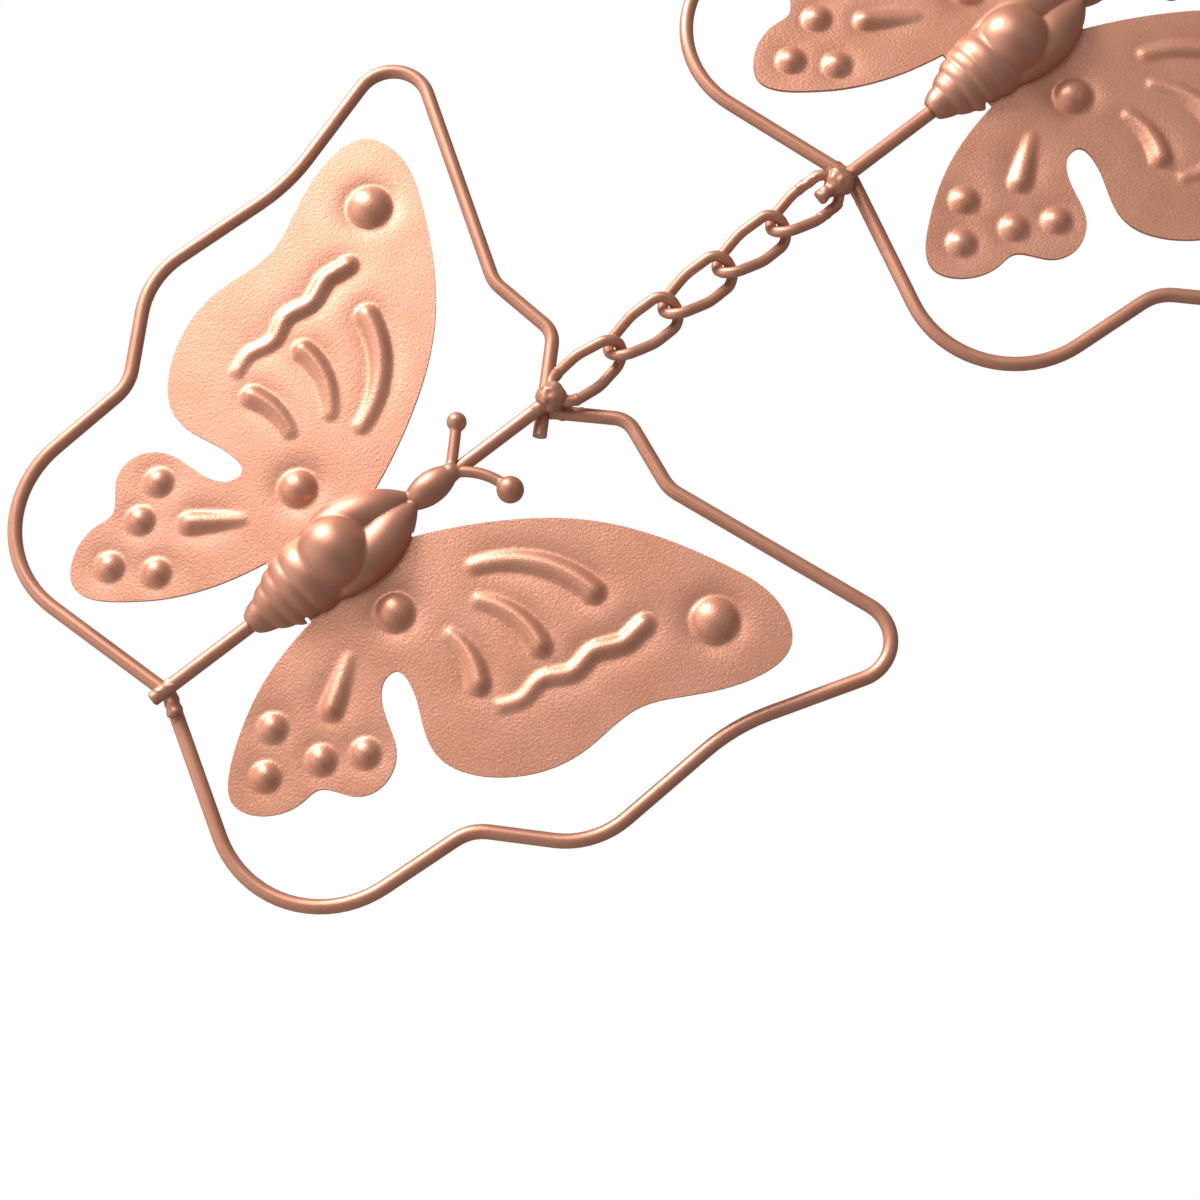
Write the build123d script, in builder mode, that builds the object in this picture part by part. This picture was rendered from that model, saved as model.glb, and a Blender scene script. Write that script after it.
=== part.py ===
from build123d import *
from math import cos, hypot, radians, sin
import os

# Wires and rods
WIRE_DIAMETER = 3.0
ROD_DIAMETER = 3.0
LINK_WIRE = 2.3
RING_WIRE = 3.0

# Gaps: one between welded pieces, one between two links hung in one another
SEAT_GAP = 0.04
LINK_PLAY = 0.2

# Chain link over its outside, and the turn from its lower end to its upper end
LINK_LENGTH = 19.3
LINK_WIDTH = 10.4
LINK_CORNER_RADIUS = 3.2
LINK_STRAND_RADIUS = 12.0
LINK_TWIST = 90.0
LINK_HEADING = -45.0
HEAD_LINK_HEADING = -20.0
LOOSE_LINKS = 3

# Hanging ring
RING_BORE = 24.0

# Frame wire of one butterfly, from the head outwards to the tail: x, z and bend radius
FRAME_CORNERS = [
    (12.6, 108.4, 5.4),
    (29.8, 105.6, 8.1),
    (90.6, 127.0, 8.3),
    (76.7, 84.8, 40.0),
    (78.2, 48.6, 18.2),
    (60.4, 31.4, 9.5),
    (56.8, -16.1, 22.5),
]
TAIL_BEND_RADIUS = 3.0
FRAME_CROSSING_Z = 95.9
FRAME_STUB = 5.6

# Stem rod: its tail end stands past the frame wire, its head end meets the head link's bar
ROD_OVERHANG = 3.2
HEAD_BAR_Z = 99.6
ROD_SADDLE = 0.6
ROD_CHAMFER = 0.3

# Wing sheet: right-hand outline, x and z, from the root's front corner round to its rear corner
SHEET_THICKNESS = 0.8
WING_OUTLINE = [
    (6.5, 58.0),
    (14.8, 73.5),
    (27.0, 88.6),
    (52.1, 103.9),
    (62.4, 106.7),
    (71.4, 103.8),
    (70.7, 88.0),
    (66.4, 79.7),
    (63.1, 72.3),
    (63.1, 59.0),
    (58.5, 44.4),
    (44.8, 35.0),
    (36.2, 37.7),
    (30.9, 39.4),
    (26.8, 38.7),
    (26.6, 37.0),
    (30.9, 32.5),
    (40.5, 28.8),
    (43.7, 23.7),
    (42.2, 17.7),
    (36.4, 12.4),
    (36.5, 8.3),
    (28.5, -2.3),
    (19.9, 3.9),
    (9.9, 22.9),
    (8.0, 31.5),
]

# Pressed dots of one wing: x, z, radius at the sheet and height
DOTS = [
    (58.4, 94.6, 4.6, 2.4),
    (16.9, 45.9, 3.7, 2.2),
    (36.3, 24.3, 2.7, 1.5),
    (31.9, 16.6, 2.7, 1.5),
    (27.7, 6.0, 2.7, 1.5),
    (20.6, 12.8, 2.7, 1.5),
]

# Pressed ridges of one wing: route x, z from the wide end to the narrow end, radius of the
# round crest, and the crest's height over the sheet at each end
CRESCENTS = [
    ([(38.5, 79.5), (27.0, 74.6), (19.0, 63.1)], 2.4, (1.5, 0.5)),
    ([(40.7, 64.5), (34.0, 64.6), (25.1, 60.1)], 2.1, (1.4, 0.4)),
    ([(39.3, 50.2), (33.4, 52.2), (27.1, 51.6)], 2.1, (1.4, 0.4)),
]
TEARDROP = ([(24.9, 24.3), (18.4, 33.4)], 2.2, (1.4, 0.2))
WAVY_RIDGE = (
    [(50.3, 83.2), (50.9, 77.6), (48.1, 72.0), (49.5, 66.2), (46.1, 60.6), (47.5, 55.0), (45.4, 50.2)],
    1.9,
    (1.3, 0.4),
)
WAVE_BEND_RADIUS = 4.5

# Body casting: z along the rod, height from the rod's middle towards the front
THORAX_RADIUS = 7.8
THORAX_Z = 43.7
THORAX_HEIGHT = 3.6
LOBE_NOSE = (0.8, 63.6, 2.0)
LOBE_TAIL = (7.4, 37.5, 2.6)
LOBE_RADIUS = 5.2
HEAD_ENDS_Z = (59.8, 74.6)
HEAD_RADIUS = 3.4
HEAD_HEIGHT = 1.0
BROW_RADIUS = 2.1
BROW_Z = 72.4
SHEET_ROOT_MARGIN = 0.7

# Abdomen: z, half width and height of each groove from the thorax to the tip, and how far its
# rings swell between the grooves and lean over towards the tail
ABDOMEN_GROOVES = [
    (45.0, 7.0, 8.2),
    (38.9, 8.6, 8.6),
    (34.9, 8.2, 7.7),
    (31.8, 7.3, 6.6),
    (28.8, 5.8, 5.4),
    (25.6, 4.1, 4.1),
    (21.6, 2.2, 2.6),
]
RING_SWELL = 0.4
RING_LEAN = 12.0

# Antennae: middle point, end point, x and z, and the end ball's diameter
ANTENNA_DIAMETER = 2.4
ANTENNAE = [
    ((-5.0, 77.2), (-8.0, 80.0), 4.2),
    ((4.6, 77.4), (10.7, 79.7), 5.7),
]

# Weld lumps: top and tip as x, height and z, and how far below the top each swells to which
# radius; the first two are measured from the rod's back, the hung one from the rod's middle
HEAD_WELD = ((0.0, 2.2, 1.9), (0.0, 2.2, -4.1), [(3.0, 3.0)])
TAIL_WELD = ((0.7, 0.4, 0.1), (5.4, 0.0, -1.6), [(1.7, 1.3)])
HUNG_WELD = ((0.1, 0.8, 3.1), (0.9, 1.2, -5.6), [(3.1, 3.1), (6.6, 1.5)])

# Places worked out from the sizes above
FRONT = Plane.XZ
WIRE_DEPTH = (ROD_DIAMETER + WIRE_DIAMETER) / 2 + SEAT_GAP
SHEET_BACK = ROD_DIAMETER / 2 + SEAT_GAP
SHEET_FRONT = SHEET_BACK + SHEET_THICKNESS
BAR_SPAN = LINK_LENGTH - LINK_WIRE
LINK_PITCH = BAR_SPAN - LINK_WIRE - LINK_PLAY
TAIL_BAR_Z = -ROD_OVERHANG - LINK_WIRE / 2
SHEET_PLANE = FRONT.offset(SHEET_BACK)


# A round bar along each straight run and bend of a route
def round_bar(route, diameter):
    runs = []
    for run in route.edges():
        with BuildPart() as piece:
            with BuildSketch(Plane(origin=run @ 0, z_dir=run % 0)):
                Circle(diameter / 2)
            sweep(path=run)
        runs.append(piece.part)
    with BuildPart() as bar:
        add(runs)
    return bar.part


# A spindle with round sides between two points of its axis
def spindle(start, end, radius):
    axis = Vector(end) - Vector(start)
    with BuildPart() as turned:
        with BuildSketch(Plane(origin=start, x_dir=axis, z_dir=axis.cross(Vector(0, 0, 1) + Vector(1, 0, 0)))):
            with BuildLine():
                side = ThreePointArc((0, 0), (axis.length / 2, radius), (axis.length, 0))
                Line(side @ 1, side @ 0)
            make_face()
        revolve(axis=Axis(start, axis))
    return turned.part


# A twisted chain link: the middle of its lower bar at the origin, its upper bar straight above
def chain_link(heading):
    reach = (LINK_WIDTH - LINK_WIRE) / 2
    corners = []
    for side in (1, -1):
        for step in (0, 1, 2)[::side]:
            angle = radians(heading + LINK_TWIST * step / 2)
            corners.append((side * reach * cos(angle), side * reach * sin(angle), BAR_SPAN * step / 2))
    with BuildLine() as route:
        bends = [LINK_CORNER_RADIUS, LINK_STRAND_RADIUS, LINK_CORNER_RADIUS] * 2
        FilletPolyline(*corners, radius=bends, close=True)
    return round_bar(route, LINK_WIRE)


# Frame wire: one length bent round both wings, its first end crossing behind the rod
def bent_frame():
    right = [(x, z) for x, z, bend in FRAME_CORNERS]
    left = [(-x, z) for x, z in right]
    bends = [bend for x, z, bend in FRAME_CORNERS]
    head_x, head_z = right[0]
    rise = head_z - FRAME_CROSSING_Z
    run = hypot(head_x, rise)
    stub = FRAME_STUB / run
    butt = (WIRE_DIAMETER / 2 + SEAT_GAP) / (2 * head_x * rise / run)
    first_end = (head_x * stub, FRAME_CROSSING_Z - rise * stub)
    last_end = (head_x * butt, FRAME_CROSSING_Z + rise * butt)
    points = [first_end] + left + [(0, 0)] + right[::-1] + [last_end]
    with BuildLine(FRONT.offset(-WIRE_DEPTH)) as route:
        FilletPolyline(*points, radius=bends + [TAIL_BEND_RADIUS] + bends[::-1])
    return round_bar(route, WIRE_DIAMETER)


# Stem rod: it carries everything, and beds over the bar of each link welded to it
def stem_rod(links, tail_z):
    with BuildPart() as rod:
        with BuildSketch(Plane.XY.offset(tail_z)):
            Circle(ROD_DIAMETER / 2)
        extrude(amount=HEAD_BAR_Z - ROD_SADDLE - tail_z)
        add(links, mode=Mode.SUBTRACT)
    return rod.part


# A pressed ridge: its bar sinks into the sheet towards the narrow end
def pressed_ridge(points, radius, crests, side, shrink):
    depths = [SHEET_THICKNESS + crest - radius for crest in crests]
    legs = [hypot(b[0] - a[0], b[1] - a[1]) for a, b in zip(points, points[1:])]
    places = []
    for i, (x, z) in enumerate(points):
        share = sum(legs[:i]) / sum(legs)
        places.append((side * x, z, depths[0] + (depths[1] - depths[0]) * share))
    with BuildLine(SHEET_PLANE) as route:
        if len(places) == 2:
            Line(*places)
        elif len(places) == 3:
            ThreePointArc(*places)
        else:
            FilletPolyline(*places, radius=WAVE_BEND_RADIUS)
    with BuildPart() as ridge:
        add(round_bar(route, 2 * (radius - shrink)))
        with Locations(SHEET_PLANE.from_local_coords(Vector(places[0]))):
            Sphere(radius - shrink)
    return ridge.part


# The pressed forms of both wings, at full size or shrunk to make their hollow backs
def pressed_forms(shrink):
    forms = []
    for side in (1, -1):
        for points, radius, crests in CRESCENTS + [TEARDROP, WAVY_RIDGE]:
            forms.append(pressed_ridge(points, radius, crests, side, shrink))
        for x, z, foot, height in DOTS:
            radius = (foot**2 + height**2) / (2 * height)
            middle = Vector(side * x, z, SHEET_THICKNESS + height - radius)
            with BuildPart() as dot:
                with Locations(SHEET_PLANE.from_local_coords(middle)):
                    Sphere(radius - shrink)
            forms.append(dot.part)
    return forms


# Wing sheet: both wings cut from one sheet, pressed from behind
def pressed_sheet():
    with BuildPart() as sheet:
        with BuildSketch(SHEET_PLANE):
            with BuildLine():
                right = Spline(*WING_OUTLINE)
                left = mirror(right, about=Plane.YZ)
                Line(right @ 0, left @ 0)
                Line(right @ 1, left @ 1)
            make_face()
        extrude(amount=SHEET_THICKNESS)
        add(pressed_forms(0))
        split(bisect_by=SHEET_PLANE, keep=Keep.TOP)
        add(pressed_forms(SHEET_THICKNESS), mode=Mode.SUBTRACT)
    return sheet.part


# Ringed abdomen: each ring is lofted from groove to crest to groove, over the rod's middle
def ringed_abdomen():
    lean = radians(RING_LEAN)
    with BuildPart() as abdomen:
        for near, far in zip(ABDOMEN_GROOVES, ABDOMEN_GROOVES[1:]):
            middle = [(a + b) / 2 for a, b in zip(near, far)]
            crest = (middle[0], middle[1] + RING_SWELL, middle[2] + RING_SWELL)
            for z, half_width, height in (near, crest, far):
                with BuildSketch(Plane(origin=(0, 0, z), x_dir=(1, 0, 0), z_dir=(0, -sin(lean), cos(lean)))):
                    Ellipse(half_width, height)
            loft()
    return abdomen.part


# Body casting: thorax, two lobes, ringed abdomen, head and antennae, flat behind
def cast_body():
    lobes = []
    for side in (1, -1):
        nose = (side * LOBE_NOSE[0], -LOBE_NOSE[2], LOBE_NOSE[1])
        tail = (side * LOBE_TAIL[0], -LOBE_TAIL[2], LOBE_TAIL[1])
        lobes.append(spindle(nose, tail, LOBE_RADIUS))
    head = spindle((0, -HEAD_HEIGHT, HEAD_ENDS_Z[0]), (0, -HEAD_HEIGHT, HEAD_ENDS_Z[1]), HEAD_RADIUS)
    feelers = []
    for (middle_x, middle_z), (end_x, end_z), ball in ANTENNAE:
        with BuildLine(FRONT.offset(HEAD_HEIGHT)) as route:
            ThreePointArc((0, BROW_Z), (middle_x, middle_z), (end_x, end_z))
        feelers.append(round_bar(route, ANTENNA_DIAMETER))
    root_front = WING_OUTLINE[0][1] + SHEET_ROOT_MARGIN
    root_rear = WING_OUTLINE[-1][1] - SHEET_ROOT_MARGIN
    reach = LOBE_TAIL[0] + LOBE_RADIUS
    with BuildPart() as body:
        add(ringed_abdomen())
        add(lobes)
        add(head)
        with Locations((0, -THORAX_HEIGHT, THORAX_Z)):
            Sphere(THORAX_RADIUS)
        with Locations((0, -HEAD_HEIGHT, BROW_Z)):
            Sphere(BROW_RADIUS)
        split(bisect_by=FRONT, keep=Keep.TOP)
        with BuildSketch(FRONT):
            with Locations((0, (root_front + root_rear) / 2)):
                Rectangle(2 * reach, root_front - root_rear)
        extrude(amount=SHEET_FRONT, mode=Mode.SUBTRACT)
        add(feelers)
        for middle, (end_x, end_z), ball in ANTENNAE:
            with Locations(Plane(origin=(end_x, -HEAD_HEIGHT, end_z), x_dir=FRONT.z_dir)):
                Sphere(ball / 2)
        with BuildSketch(Plane.XY):
            Circle(ROD_DIAMETER / 2 + SEAT_GAP)
        extrude(amount=HEAD_BAR_Z, mode=Mode.SUBTRACT)
    return body.part


# A weld lump: a drop turned about its own line, with the pieces it holds cut out
def weld_lump(drop, place, held):
    top, tip = [Vector(*place) + Vector(x, -height, z) for x, height, z in drop[:2]]
    axis = tip - top
    with BuildPart() as lump:
        with BuildSketch(Plane(origin=top, x_dir=axis, z_dir=axis.cross(FRONT.z_dir))):
            with BuildLine():
                side = Spline((0, 0), *drop[2], (axis.length, 0), tangents=[(0, 1), (0, -1)])
                Line(side @ 1, side @ 0)
            make_face()
        revolve(axis=Axis(top, axis))
        add(held, mode=Mode.SUBTRACT)
    return lump.part


# One butterfly with its tail at the origin, hung or with the next link's bar welded to its tail
frame = bent_frame()
sheet = pressed_sheet()
body = cast_body()
head_link = Pos(0, 0, HEAD_BAR_Z) * chain_link(HEAD_LINK_HEADING)
loose_link = chain_link(LINK_HEADING)
tail_link = Pos(0, 0, TAIL_BAR_Z - BAR_SPAN) * loose_link
end_rod = stem_rod([head_link], -ROD_OVERHANG)
with BuildPart() as rounded_rod:
    add(end_rod)
    chamfer(rounded_rod.faces().sort_by(Axis.Z)[0].edges(), ROD_CHAMFER)
carrying_rod = stem_rod([head_link, tail_link], TAIL_BAR_Z + ROD_SADDLE)

LOWER = {
    "frame_wire": frame,
    "stem_rod": rounded_rod.part,
    "wing_sheet": sheet,
    "body_casting": body,
    "head_link": head_link,
    "head_weld": weld_lump(HEAD_WELD, (0, ROD_DIAMETER / 2, HEAD_BAR_Z), [head_link, rounded_rod.part, frame]),
    "tail_weld": weld_lump(TAIL_WELD, (0, ROD_DIAMETER / 2, 0), [rounded_rod.part, frame]),
}
UPPER = {
    "frame_wire": frame,
    "stem_rod": carrying_rod,
    "wing_sheet": sheet,
    "body_casting": body,
    "head_link": head_link,
    "tail_link": tail_link,
    "head_weld": weld_lump(HEAD_WELD, (0, ROD_DIAMETER / 2, HEAD_BAR_Z), [head_link, carrying_rod, frame]),
    "tail_weld": weld_lump(HUNG_WELD, (0, 0, TAIL_BAR_Z), [tail_link, carrying_rod]),
}

# Hanging ring, its inside top at the origin, standing square to the first link's upper bar
ring_radius = (RING_BORE + RING_WIRE) / 2
ring_plane = Plane(origin=(0, 0, -RING_BORE / 2), z_dir=Vector(1, 0, 0).rotate(Axis.Z, LINK_HEADING + LINK_TWIST))
with BuildPart() as ring:
    with BuildSketch(Plane(origin=ring_plane.origin, x_dir=ring_plane.z_dir, z_dir=ring_plane.x_dir)):
        with Locations((0, ring_radius)):
            Circle(RING_WIRE / 2)
    revolve(axis=Axis(ring_plane.origin, ring_plane.z_dir))

# Everything hangs from the ring: lengths of loose links, then a butterfly, twice over
placed = {"hanging_ring": ring.part}
bar_z = -RING_BORE - RING_WIRE / 2 + (RING_WIRE + LINK_WIRE) / 2 + LINK_PLAY
for name, pieces, chain in (("upper", UPPER, "top"), ("lower", LOWER, "middle")):
    for count in range(LOOSE_LINKS):
        placed[f"{chain}_link_{count + 1}"] = Pos(0, 0, bar_z - BAR_SPAN) * loose_link
        bar_z -= LINK_PITCH
    tail_z = bar_z - BAR_SPAN - HEAD_BAR_Z
    for piece, solid in pieces.items():
        placed[f"{name}_{piece}"] = Pos(0, 0, tail_z) * solid
    bar_z = tail_z + TAIL_BAR_Z - LINK_PITCH

os.makedirs("parts", exist_ok=True)
for node, solid in placed.items():
    solid.label = node
    export_step(solid, f"parts/{node}.step")
print("lowest tail crossing at", round(tail_z, 2))
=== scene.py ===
import math

import bmesh
import bpy
import numpy as np
from bpy.props import FloatProperty, FloatVectorProperty, IntProperty, PointerProperty
from mathutils import Matrix, Quaternion, Vector, noise
from mathutils.bvhtree import BVHTree


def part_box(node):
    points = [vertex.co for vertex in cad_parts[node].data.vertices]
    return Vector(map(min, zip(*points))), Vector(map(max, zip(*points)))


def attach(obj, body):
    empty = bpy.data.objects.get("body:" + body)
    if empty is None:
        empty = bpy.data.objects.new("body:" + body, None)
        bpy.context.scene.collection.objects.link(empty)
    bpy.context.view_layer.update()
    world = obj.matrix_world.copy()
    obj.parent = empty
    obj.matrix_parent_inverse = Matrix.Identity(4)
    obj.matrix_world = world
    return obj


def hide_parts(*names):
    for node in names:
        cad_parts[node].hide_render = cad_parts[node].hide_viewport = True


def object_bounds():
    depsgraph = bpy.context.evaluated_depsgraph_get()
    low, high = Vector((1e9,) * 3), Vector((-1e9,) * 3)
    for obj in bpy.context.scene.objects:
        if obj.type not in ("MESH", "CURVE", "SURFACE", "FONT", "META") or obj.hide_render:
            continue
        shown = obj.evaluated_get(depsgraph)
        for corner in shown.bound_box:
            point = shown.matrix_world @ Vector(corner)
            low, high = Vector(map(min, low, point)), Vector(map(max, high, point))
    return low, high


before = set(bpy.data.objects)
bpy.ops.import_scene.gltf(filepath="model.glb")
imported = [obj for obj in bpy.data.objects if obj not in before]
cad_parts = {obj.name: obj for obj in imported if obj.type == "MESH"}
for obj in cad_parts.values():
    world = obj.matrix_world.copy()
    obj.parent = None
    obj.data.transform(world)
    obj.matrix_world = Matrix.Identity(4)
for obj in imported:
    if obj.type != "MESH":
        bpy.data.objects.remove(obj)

bl_info = {
    "name": "Rain Chain",
    "version": (1, 0, 0),
    "blender": (4, 5, 0),
    "location": "View3D > Sidebar > Rain Chain",
    "description": "Dresses the butterfly rain chain in its sheets, castings, welds and paint",
    "category": "Object",
}

MM = 0.001
CAD_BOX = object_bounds()

SMOOTH_ANGLE = math.radians(50)
MERGE_REACH = 0.001 * MM

# Each paint's ripples per metre, its share of the orange peel and its brightness, a painted
# shade level that darkens the one copper paint on the wires, welds and body
PAINTS = {
    "sheet_paint": (1700, 1.6, 1),
    "wire_paint": (700, 0, 0.88),
    "weld_paint": (700, 0.3, 0.8),
    "body_paint": (700, 0.2, 0.78),
}

# Half the height of the wall that cuts a blank, and how near points merge after the cut
WALL_REACH = 1 * MM
CUT_REACH = 0.02 * MM
# How far in front of the sheet the rays start that feel for the pressed forms
FEELER_START = 10 * MM
# How far from the rod the sheet's unevenness reaches its full height
EVEN_WIDTH = 20 * MM

# Each weld and the wires that it holds
WELDS = {
    "lower_head_weld": ("lower_head_link", "lower_stem_rod", "lower_frame_wire"),
    "upper_head_weld": ("upper_head_link", "upper_stem_rod", "upper_frame_wire"),
    "upper_tail_weld": ("upper_tail_link", "upper_stem_rod", "upper_frame_wire"),
    "lower_tail_weld": ("lower_stem_rod", "lower_frame_wire"),
}
# How much of the wires a weld takes along, and the distance between its lumps
WELD_REACH = Vector((2, 2, 2)) * MM
WELD_LUMPS = 1.6 * MM

# The point that the lamps face, and each lamp's place from there and width
LAMP_TARGET = Vector((0, 0, -0.25))
LAMPS = {
    "key_lamp": ((-0.75, -0.33, 0.02), 0.3),
    "sheen_lamp": ((-0.6, -0.75, 0.1), 0.45),
    "fill_lamp": ((0.5, -1.0, 0.6), 0.8),
}
FLOOR_WIDTH = 6
# The floor's glow where it is seen directly, and the glow's share in what is seen
FLOOR_GLOW = 1.15
FLOOR_GLOW_SHARE = 0.85


class PaintSettings(bpy.types.PropertyGroup):
    """Copper paint and how it covers the metal"""

    colour: FloatVectorProperty(
        name="Paint",
        description="Main colour of the copper paint",
        subtype="COLOR",
        default=(0.635, 0.288, 0.188),
    )
    pale: FloatVectorProperty(
        name="Pale Paint",
        description="Where the paint lies thicker",
        subtype="COLOR",
        default=(0.66, 0.31, 0.21),
    )
    deep: FloatVectorProperty(
        name="Deep Paint",
        description="Where the paint lies thinner",
        subtype="COLOR",
        default=(0.6, 0.262, 0.165),
    )
    roughness: FloatProperty(
        name="Roughness", description="Gloss of the satin paint", default=0.42, min=0, max=1
    )
    metallic: FloatProperty(
        name="Metallic", description="Share of metal flake", default=0.58, min=0, max=1
    )
    peel: FloatProperty(
        name="Orange Peel",
        description="Height of the paint's ripple",
        default=0.05 * MM,
        unit="LENGTH",
        precision=6,
    )


class SheetSettings(bpy.types.PropertyGroup):
    """Pressed wing sheets"""

    spacing: FloatProperty(
        name="Spacing",
        description="Distance between points of the sheet",
        default=0.55 * MM,
        unit="LENGTH",
        precision=5,
    )
    thickness: FloatProperty(
        name="Thickness",
        description="Thickness of the sheet",
        default=0.8 * MM,
        unit="LENGTH",
        precision=5,
    )
    foot_passes: IntProperty(
        name="Foot Passes",
        description="Softening of each pressed form's foot",
        default=2,
        min=0,
    )
    draw_passes: IntProperty(
        name="Draw Passes",
        description="How far the metal is drawn round a form",
        default=90,
        min=0,
    )
    draw: FloatProperty(
        name="Draw",
        description="Depth of the hollow round each pressed form",
        default=1.3,
        min=0,
    )
    warp: FloatProperty(
        name="Warp",
        description="Unevenness of the sheet",
        default=0.15 * MM,
        unit="LENGTH",
        precision=5,
    )
    warp_length: FloatProperty(
        name="Warp Length",
        description="Distance between its waves",
        default=22 * MM,
        unit="LENGTH",
        precision=5,
    )


class CastingSettings(bpy.types.PropertyGroup):
    """Cast bodies and weld lumps"""

    body_grain: FloatProperty(
        name="Body Grain",
        description="Size of the body's faces",
        default=0.28 * MM,
        unit="LENGTH",
        precision=5,
    )
    body_passes: IntProperty(
        name="Body Passes", description="Softening of the cast edges", default=5, min=0
    )
    weld_grain: FloatProperty(
        name="Weld Grain",
        description="Size of a weld's faces",
        default=0.16 * MM,
        unit="LENGTH",
        precision=5,
    )
    weld_passes: IntProperty(
        name="Weld Passes", description="Running of the weld into the wires", default=14, min=0
    )
    weld_rough: FloatProperty(
        name="Weld Roughness",
        description="Height of the weld's lumps",
        default=0.35 * MM,
        unit="LENGTH",
        precision=5,
    )


class StageSettings(bpy.types.PropertyGroup):
    """Camera, floor and lamps"""

    camera_place: FloatVectorProperty(
        name="Camera",
        description="Place of the camera",
        subtype="TRANSLATION",
        default=(0.1394, -0.3859, -0.3280),
    )
    camera_aim: FloatVectorProperty(
        name="Aim",
        description="Direction the camera looks in",
        subtype="DIRECTION",
        default=(-0.2470, 0.9622, 0.1147),
    )
    camera_roll: FloatProperty(
        name="Roll",
        description="Turn of the camera about its aim",
        subtype="ANGLE",
        default=math.radians(52.33),
    )
    lens: FloatProperty(
        name="Lens", description="Focal length on a 36 mm sensor", default=60, min=1
    )
    floor_drop: FloatProperty(
        name="Floor Drop",
        description="Clear height under the chain",
        default=0.35,
        unit="LENGTH",
    )
    key_power: FloatProperty(
        name="Key", description="Power of the key lamp in watts", default=10, min=0
    )
    sheen_power: FloatProperty(
        name="Sheen", description="Power of the sheen lamp in watts", default=3, min=0
    )
    fill_power: FloatProperty(
        name="Fill", description="Power of the fill lamp in watts", default=0.6, min=0
    )
    room: FloatProperty(
        name="Room", description="Strength of the room's own light", default=0.25, min=0
    )


def alone(piece):
    """Select one piece only and make it active."""
    bpy.ops.object.select_all(action="DESELECT")
    piece.select_set(True)
    bpy.context.view_layer.objects.active = piece


def apply_modifier(piece, kind, **settings):
    """Add a modifier to a piece, set it up and apply it."""
    alone(piece)
    modifier = piece.modifiers.new(kind.title(), kind)
    for name, value in settings.items():
        setattr(modifier, name, value)
    bpy.ops.object.modifier_apply(modifier=modifier.name)


def copy_of(*nodes, name):
    """A merged copy of one or more CAD nodes, as one loose piece."""
    bpy.ops.object.select_all(action="DESELECT")
    copies = []
    for node in nodes:
        twin = bpy.data.objects.new(name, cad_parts[node].data.copy())
        bpy.context.scene.collection.objects.link(twin)
        twin.select_set(True)
        copies.append(twin)
    bpy.context.view_layer.objects.active = copies[0]
    if len(copies) > 1:
        bpy.ops.object.join()
    piece = bpy.context.object
    bpy.ops.object.mode_set(mode="EDIT")
    bpy.ops.mesh.select_all(action="SELECT")
    bpy.ops.mesh.remove_doubles(threshold=MERGE_REACH)
    bpy.ops.object.mode_set(mode="OBJECT")
    piece.data.materials.clear()
    return piece


def finish_piece(piece, body, paint, *nodes):
    """Paint a finished piece, let it ride on its body and stand for its nodes."""
    alone(piece)
    bpy.ops.object.shade_smooth_by_angle(angle=SMOOTH_ANGLE)
    piece.data.materials.clear()
    piece.data.materials.append(paint)
    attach(piece, body)
    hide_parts(*nodes)


def finish_pair(lower, paint, part):
    """Finish the lower butterfly's piece, and a copy of it for the upper butterfly."""
    upper = bpy.data.objects.new(lower.name.replace("lower", "upper"), lower.data.copy())
    bpy.context.scene.collection.objects.link(upper)
    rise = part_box("upper_frame_wire")[0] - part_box("lower_frame_wire")[0]
    upper.data.transform(Matrix.Translation(rise))
    finish_piece(lower, "lower_butterfly", paint, "lower_" + part)
    finish_piece(upper, "upper_butterfly", paint, "upper_" + part)


def copper_paint(name, settings):
    """Satin copper paint: mottled colour, uneven gloss and a fine orange peel, with the
    colours darkened by the part's painted shade.
    """
    ripples, peel_share, painted_shade_level = PAINTS[name]
    paint = bpy.data.materials.new(name)
    paint.use_nodes = True
    nodes, links = paint.node_tree.nodes, paint.node_tree.links
    shader = nodes["Principled BSDF"]
    place = nodes.new("ShaderNodeTexCoord").outputs["Object"]

    def grain(scale, detail, roughness=0.5):
        texture = nodes.new("ShaderNodeTexNoise")
        texture.inputs["Scale"].default_value = scale
        texture.inputs["Detail"].default_value = detail
        texture.inputs["Roughness"].default_value = roughness
        links.new(place, texture.inputs["Vector"])
        return texture.outputs["Fac"]

    # Painted shade: each colour is dimmed by the part's level, so the wires, welds and body
    # show the same paint darker than the sheets
    def with_painted_shade(colour):
        return (*[painted_shade_level * part for part in colour], 1)

    mottle = nodes.new("ShaderNodeValToRGB")
    stops = mottle.color_ramp.elements
    stops[0].position, stops[0].color = 0.3, with_painted_shade(settings.deep)
    stops[1].position, stops[1].color = 0.7, with_painted_shade(settings.pale)
    stops.new(0.5).color = with_painted_shade(settings.colour)
    links.new(grain(90, 4), mottle.inputs["Fac"])
    links.new(mottle.outputs["Color"], shader.inputs["Base Color"])

    gloss = nodes.new("ShaderNodeMapRange")
    gloss.inputs["To Min"].default_value = settings.roughness - 0.05
    gloss.inputs["To Max"].default_value = settings.roughness + 0.07
    links.new(grain(260, 3), gloss.inputs["Value"])
    links.new(gloss.outputs["Result"], shader.inputs["Roughness"])

    ripple = nodes.new("ShaderNodeBump")
    ripple.inputs["Strength"].default_value = 1
    ripple.inputs["Distance"].default_value = settings.peel * peel_share
    links.new(grain(ripples, 2, 0.6), ripple.inputs["Height"])
    links.new(ripple.outputs["Normal"], shader.inputs["Normal"])
    shader.inputs["Metallic"].default_value = settings.metallic
    return paint


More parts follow.
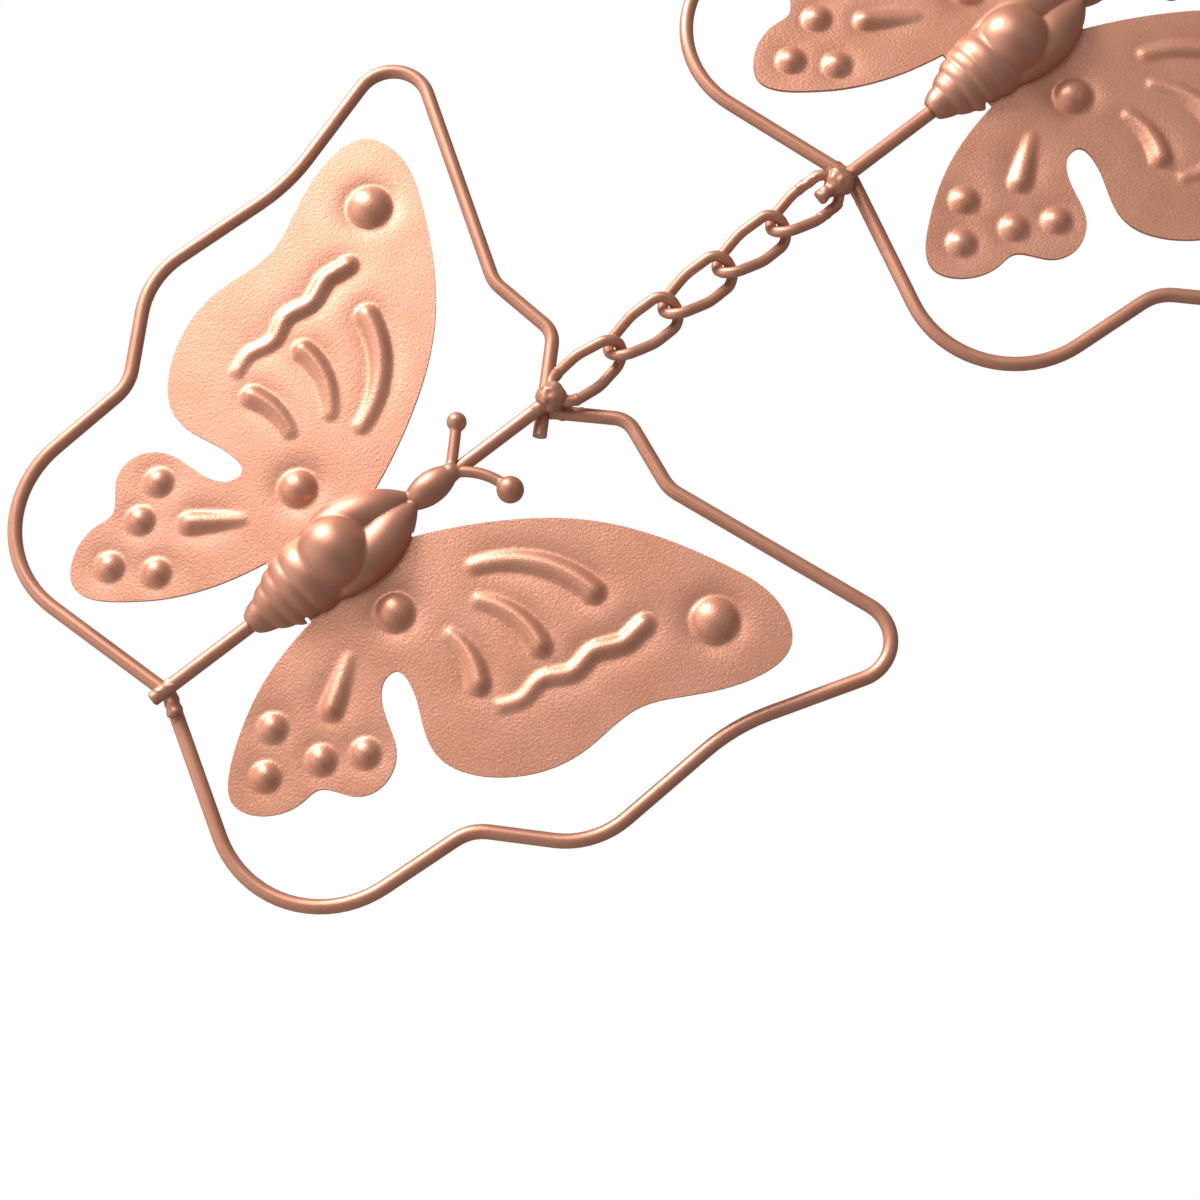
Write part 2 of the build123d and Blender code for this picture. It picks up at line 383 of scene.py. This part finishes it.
def outline_wall(node, depth):
    """The sheet's outer edge as one loop, from a cut half way through the sheet."""
    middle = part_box(node)[1].y - depth / 2
    copy_of(node, name="outline_wall")
    bpy.ops.object.mode_set(mode="EDIT")
    bpy.ops.mesh.select_all(action="SELECT")
    bpy.ops.mesh.bisect(
        plane_co=(0, middle, 0), plane_no=(0, 1, 0), clear_inner=True, clear_outer=True
    )
    bpy.ops.mesh.separate(type="LOOSE")
    bpy.ops.object.mode_set(mode="OBJECT")
    loops = list(bpy.context.selected_objects)
    wall = max(loops, key=lambda loop: loop.dimensions.x)
    for loop in loops:
        if loop != wall:
            bpy.data.objects.remove(loop)
    return wall


def flat_blank(name, node, front, spacing):
    """A flat grid at the front of a sheet, a little larger than the sheet."""
    low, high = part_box(node)
    margin = 2 * spacing
    width, height = high.x - low.x + margin, high.z - low.z + margin
    bpy.ops.object.select_all(action="DESELECT")
    bpy.ops.mesh.primitive_grid_add(
        x_subdivisions=round(width / spacing),
        y_subdivisions=round(height / spacing),
        size=1,
        location=((low.x + high.x) / 2, front, (low.z + high.z) / 2),
        rotation=(math.pi / 2, 0, 0),
    )
    blank = bpy.context.object
    blank.name = name
    blank.scale = (width, height, 1)
    bpy.ops.object.transform_apply(location=True, rotation=True, scale=True)
    return blank


def within(x, z, rim):
    """For each point, whether it lies inside a closed rim of straight edges."""
    crossings = np.zeros(len(x), int)
    for (near_x, near_z), (far_x, far_z) in rim:
        if near_z != far_z:
            level = (near_z > z) != (far_z > z)
            crossing_x = near_x + (z - near_z) * (far_x - near_x) / (far_z - near_z)
            crossings += level & (x < crossing_x)
    return crossings % 2 == 1


def cut_out(blank, wall, front):
    """Cut a blank along a wall and keep what lies inside the wall."""
    points = wall.data.vertices
    rim = [[points[end].co.xz for end in edge.vertices] for edge in wall.data.edges]
    alone(wall)
    bpy.ops.object.mode_set(mode="EDIT")
    bpy.ops.mesh.select_all(action="SELECT")
    bpy.ops.transform.translate(value=(0, front - WALL_REACH - points[0].co.y, 0))
    bpy.ops.mesh.extrude_edges_move(TRANSFORM_OT_translate={"value": (0, 2 * WALL_REACH, 0)})
    bpy.ops.mesh.select_all(action="DESELECT")
    bpy.ops.object.mode_set(mode="OBJECT")

    bpy.ops.object.select_all(action="DESELECT")
    wall.select_set(True)
    blank.select_set(True)
    bpy.context.view_layer.objects.active = blank
    bpy.ops.object.join()
    bpy.ops.object.mode_set(mode="EDIT")
    bpy.ops.mesh.intersect(mode="SELECT_UNSELECT", separate_mode="NONE", solver="FAST")
    bpy.ops.object.mode_set(mode="OBJECT")

    mesh = bmesh.new()
    mesh.from_mesh(blank.data)
    places = np.array([face.calc_center_median() for face in mesh.faces])
    flat = np.array([abs(face.normal.y) for face in mesh.faces]) > 0.5
    kept = flat & within(places[:, 0], places[:, 2], rim)
    spare = [face for face, stays in zip(mesh.faces, kept) if not stays]
    bmesh.ops.delete(mesh, geom=spare, context="FACES")
    bmesh.ops.remove_doubles(mesh, verts=mesh.verts, dist=CUT_REACH)
    mesh.to_mesh(blank.data)
    mesh.free()


def smooth_depth(sheet, passes):
    """Smooth a sheet through its thickness only, so that its outline stays."""
    alone(sheet)
    bpy.ops.object.mode_set(mode="EDIT")
    bpy.ops.mesh.select_all(action="SELECT")
    if passes:
        bpy.ops.mesh.vertices_smooth(
            factor=0.5, repeat=passes, xaxis=False, yaxis=True, zaxis=False
        )
    bpy.ops.object.mode_set(mode="OBJECT")


def press(sheet, node, front, sizes):
    """Press the flat blank over the forms of its node, with the metal drawn in round them."""
    die = copy_of(node, name="die")
    mesh = bmesh.new()
    mesh.from_mesh(die.data)
    tree = BVHTree.FromBMesh(mesh)
    mesh.free()
    bpy.data.objects.remove(die)
    ahead = Vector((0, 1, 0))
    for vert in sheet.data.vertices:
        hit = tree.ray_cast(Vector((vert.co.x, front - FEELER_START, vert.co.z)), ahead)[0]
        vert.co.y = min(front, hit.y) if hit else front
    smooth_depth(sheet, sizes.foot_passes)
    formed = [front - vert.co.y for vert in sheet.data.vertices]
    smooth_depth(sheet, sizes.draw_passes)
    for vert, height in zip(sheet.data.vertices, formed):
        hollow = sizes.draw * max(0, front - vert.co.y - height)
        point = Vector((vert.co.x, 0, vert.co.z)) / sizes.warp_length
        uneven = sizes.warp * noise.noise(point) * min(1, abs(vert.co.x) / EVEN_WIDTH)
        vert.co.y = front - height + hollow - uneven


class RAINCHAIN_OT_wing_sheets(bpy.types.Operator):
    """Press the wing sheets from flat blanks"""

    bl_idname = "rain_chain.wing_sheets"
    bl_label = "Wing Sheets"

    def execute(self, context):
        sizes = context.scene.rain_chain_sheet
        paint = copper_paint("sheet_paint", context.scene.rain_chain_paint)
        node = "lower_wing_sheet"
        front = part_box(node)[1].y - sizes.thickness
        wall = outline_wall(node, sizes.thickness)
        sheet = flat_blank("lower_pressed_sheet", node, front, sizes.spacing)
        cut_out(sheet, wall, front)
        press(sheet, node, front, sizes)
        apply_modifier(sheet, "SOLIDIFY", thickness=sizes.thickness, offset=-1)
        finish_pair(sheet, paint, "wing_sheet")
        return {"FINISHED"}


class RAINCHAIN_OT_body_castings(bpy.types.Operator):
    """Cast the bodies with soft edges"""

    bl_idname = "rain_chain.body_castings"
    bl_label = "Body Castings"

    def execute(self, context):
        sizes = context.scene.rain_chain_casting
        paint = copper_paint("body_paint", context.scene.rain_chain_paint)
        body = copy_of("lower_body_casting", name="lower_cast_body")
        apply_modifier(body, "REMESH", mode="VOXEL", voxel_size=sizes.body_grain)
        apply_modifier(body, "SMOOTH", factor=0.5, iterations=sizes.body_passes)
        finish_pair(body, paint, "body_casting")
        return {"FINISHED"}


class RAINCHAIN_OT_welds(bpy.types.Operator):
    """Run the weld lumps into the wires that they hold"""

    bl_idname = "rain_chain.welds"
    bl_label = "Weld Lumps"

    def execute(self, context):
        paint = copper_paint("weld_paint", context.scene.rain_chain_paint)
        for node, held in WELDS.items():
            self.weld(context.scene.rain_chain_casting, node, held, paint)
        return {"FINISHED"}

    def weld(self, sizes, node, held, paint):
        low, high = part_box(node)
        low, high = low - WELD_REACH, high + WELD_REACH
        lump = copy_of(node, *held, name=node.replace("weld", "weld_bead"))
        bpy.ops.object.mode_set(mode="EDIT")
        for axis in range(3):
            for corner, sign in ((low, -1), (high, 1)):
                normal = [0, 0, 0]
                normal[axis] = sign
                bpy.ops.mesh.select_all(action="SELECT")
                bpy.ops.mesh.bisect(plane_co=corner, plane_no=normal, clear_outer=True)
        bpy.ops.mesh.select_all(action="SELECT")
        bpy.ops.mesh.fill_holes(sides=0)
        bpy.ops.object.mode_set(mode="OBJECT")
        apply_modifier(lump, "REMESH", mode="VOXEL", voxel_size=sizes.weld_grain)
        apply_modifier(lump, "SMOOTH", factor=0.5, iterations=sizes.weld_passes)
        outward = [vert.normal.copy() for vert in lump.data.vertices]
        for vert, normal in zip(lump.data.vertices, outward):
            vert.co += normal * sizes.weld_rough * noise.noise(vert.co / WELD_LUMPS)
        body = node.split("_")[0] + "_butterfly"
        finish_piece(lump, body, paint, node)


class RAINCHAIN_OT_wires(bpy.types.Operator):
    """Paint the wires, rods, links and ring"""

    bl_idname = "rain_chain.wires"
    bl_label = "Wires and Links"

    def execute(self, context):
        paint = copper_paint("wire_paint", context.scene.rain_chain_paint)
        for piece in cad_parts.values():
            piece.data.materials.clear()
            piece.data.materials.append(paint)
        return {"FINISHED"}


class RAINCHAIN_OT_stage(bpy.types.Operator):
    """Set the floor, lamps, room and camera"""

    bl_idname = "rain_chain.stage"
    bl_label = "Studio Stage"

    def execute(self, context):
        settings = context.scene.rain_chain_stage
        bpy.ops.object.select_all(action="DESELECT")
        floor_z = CAD_BOX[0].z - settings.floor_drop
        bpy.ops.mesh.primitive_plane_add(size=FLOOR_WIDTH, location=(0, 0, floor_z))
        floor = context.object
        floor.name = "studio_floor"
        floor.data.materials.append(pale_floor())
        white_room(context.scene, settings.room)
        for name, (place, width) in LAMPS.items():
            power = getattr(settings, name.replace("lamp", "power"))
            lamp(name, Vector(place), width, power)

        camera = bpy.data.objects.new("photo_camera", bpy.data.cameras.new("photo_camera"))
        context.scene.collection.objects.link(camera)
        camera.location = settings.camera_place
        aim = Vector(settings.camera_aim).normalized().to_track_quat("-Z", "Y")
        camera.rotation_mode = "QUATERNION"
        camera.rotation_quaternion = aim @ Quaternion((0, 0, 1), settings.camera_roll)
        camera.data.sensor_width = 36
        camera.data.lens = settings.lens
        camera.data.clip_start = 0.01
        context.scene.camera = camera
        context.scene.view_settings.view_transform = "Standard"
        return {"FINISHED"}


def lamp(name, place, width, power):
    """A square soft lamp that faces the chain."""
    bpy.ops.object.light_add(type="AREA", location=LAMP_TARGET + place)
    light = bpy.context.object
    light.name = name
    light.data.shape = "SQUARE"
    light.data.size = width
    light.data.energy = power
    light.rotation_mode = "QUATERNION"
    light.rotation_quaternion = (-place).to_track_quat("-Z", "Y")


def seen_directly(nodes, links):
    """1 for what is seen by the camera or through clear matter, and 0 for all other light."""
    path = nodes.new("ShaderNodeLightPath")
    either = nodes.new("ShaderNodeMath")
    either.operation = "MAXIMUM"
    links.new(path.outputs["Is Camera Ray"], either.inputs[0])
    links.new(path.outputs["Is Transmission Ray"], either.inputs[1])
    return either.outputs["Value"]


def pale_floor():
    """A pale floor that looks white and still keeps a faint shadow."""
    floor = bpy.data.materials.new("studio_floor")
    floor.use_nodes = True
    nodes, links = floor.node_tree.nodes, floor.node_tree.links
    matt = nodes["Principled BSDF"]
    matt.inputs["Base Color"].default_value = (0.9, 0.9, 0.9, 1)
    matt.inputs["Roughness"].default_value = 0.9
    glow = nodes.new("ShaderNodeEmission")
    glow.inputs["Strength"].default_value = FLOOR_GLOW
    mix = nodes.new("ShaderNodeMixShader")
    share = nodes.new("ShaderNodeMath")
    share.operation = "MULTIPLY"
    share.inputs[1].default_value = FLOOR_GLOW_SHARE
    links.new(seen_directly(nodes, links), share.inputs[0])
    links.new(share.outputs["Value"], mix.inputs["Fac"])
    links.new(matt.outputs["BSDF"], mix.inputs[1])
    links.new(glow.outputs["Emission"], mix.inputs[2])
    links.new(mix.outputs["Shader"], nodes["Material Output"].inputs["Surface"])
    return floor


def white_room(scene, strength):
    """White behind the chain, and a softer white as light on it."""
    world = bpy.data.worlds.new("studio_room")
    scene.world = world
    world.use_nodes = True
    nodes, links = world.node_tree.nodes, world.node_tree.links
    background = nodes["Background"]
    background.inputs["Color"].default_value = (1, 1, 1, 1)
    level = nodes.new("ShaderNodeMapRange")
    level.inputs["To Min"].default_value = strength
    level.inputs["To Max"].default_value = 1
    links.new(seen_directly(nodes, links), level.inputs["Value"])
    links.new(level.outputs["Result"], background.inputs["Strength"])


class VIEW3D_PT_rain_chain(bpy.types.Panel):
    """Rain chain panel"""

    bl_label = "Rain Chain"
    bl_space_type = "VIEW_3D"
    bl_region_type = "UI"
    bl_category = "Rain Chain"

    def draw(self, context):
        layout = self.layout
        for group, settings in SETTINGS.items():
            box = layout.box()
            box.label(text=settings.__doc__)
            for name in settings.__annotations__:
                box.prop(getattr(context.scene, group), name)
        for operator in OPERATORS:
            layout.operator(operator.bl_idname)


SETTINGS = {
    "rain_chain_paint": PaintSettings,
    "rain_chain_sheet": SheetSettings,
    "rain_chain_casting": CastingSettings,
    "rain_chain_stage": StageSettings,
}
OPERATORS = (
    RAINCHAIN_OT_wires,
    RAINCHAIN_OT_wing_sheets,
    RAINCHAIN_OT_body_castings,
    RAINCHAIN_OT_welds,
    RAINCHAIN_OT_stage,
)


def register():
    for cls in (*SETTINGS.values(), *OPERATORS, VIEW3D_PT_rain_chain):
        bpy.utils.register_class(cls)
    for name, group in SETTINGS.items():
        setattr(bpy.types.Scene, name, PointerProperty(type=group))


def unregister():
    for name in SETTINGS:
        delattr(bpy.types.Scene, name)
    for cls in (VIEW3D_PT_rain_chain, *reversed(OPERATORS), *SETTINGS.values()):
        bpy.utils.unregister_class(cls)


def main():
    register()
    bpy.ops.rain_chain.wires()
    bpy.ops.rain_chain.wing_sheets()
    bpy.ops.rain_chain.body_castings()
    bpy.ops.rain_chain.welds()
    bpy.ops.rain_chain.stage()


if __name__ == "__main__":
    main()
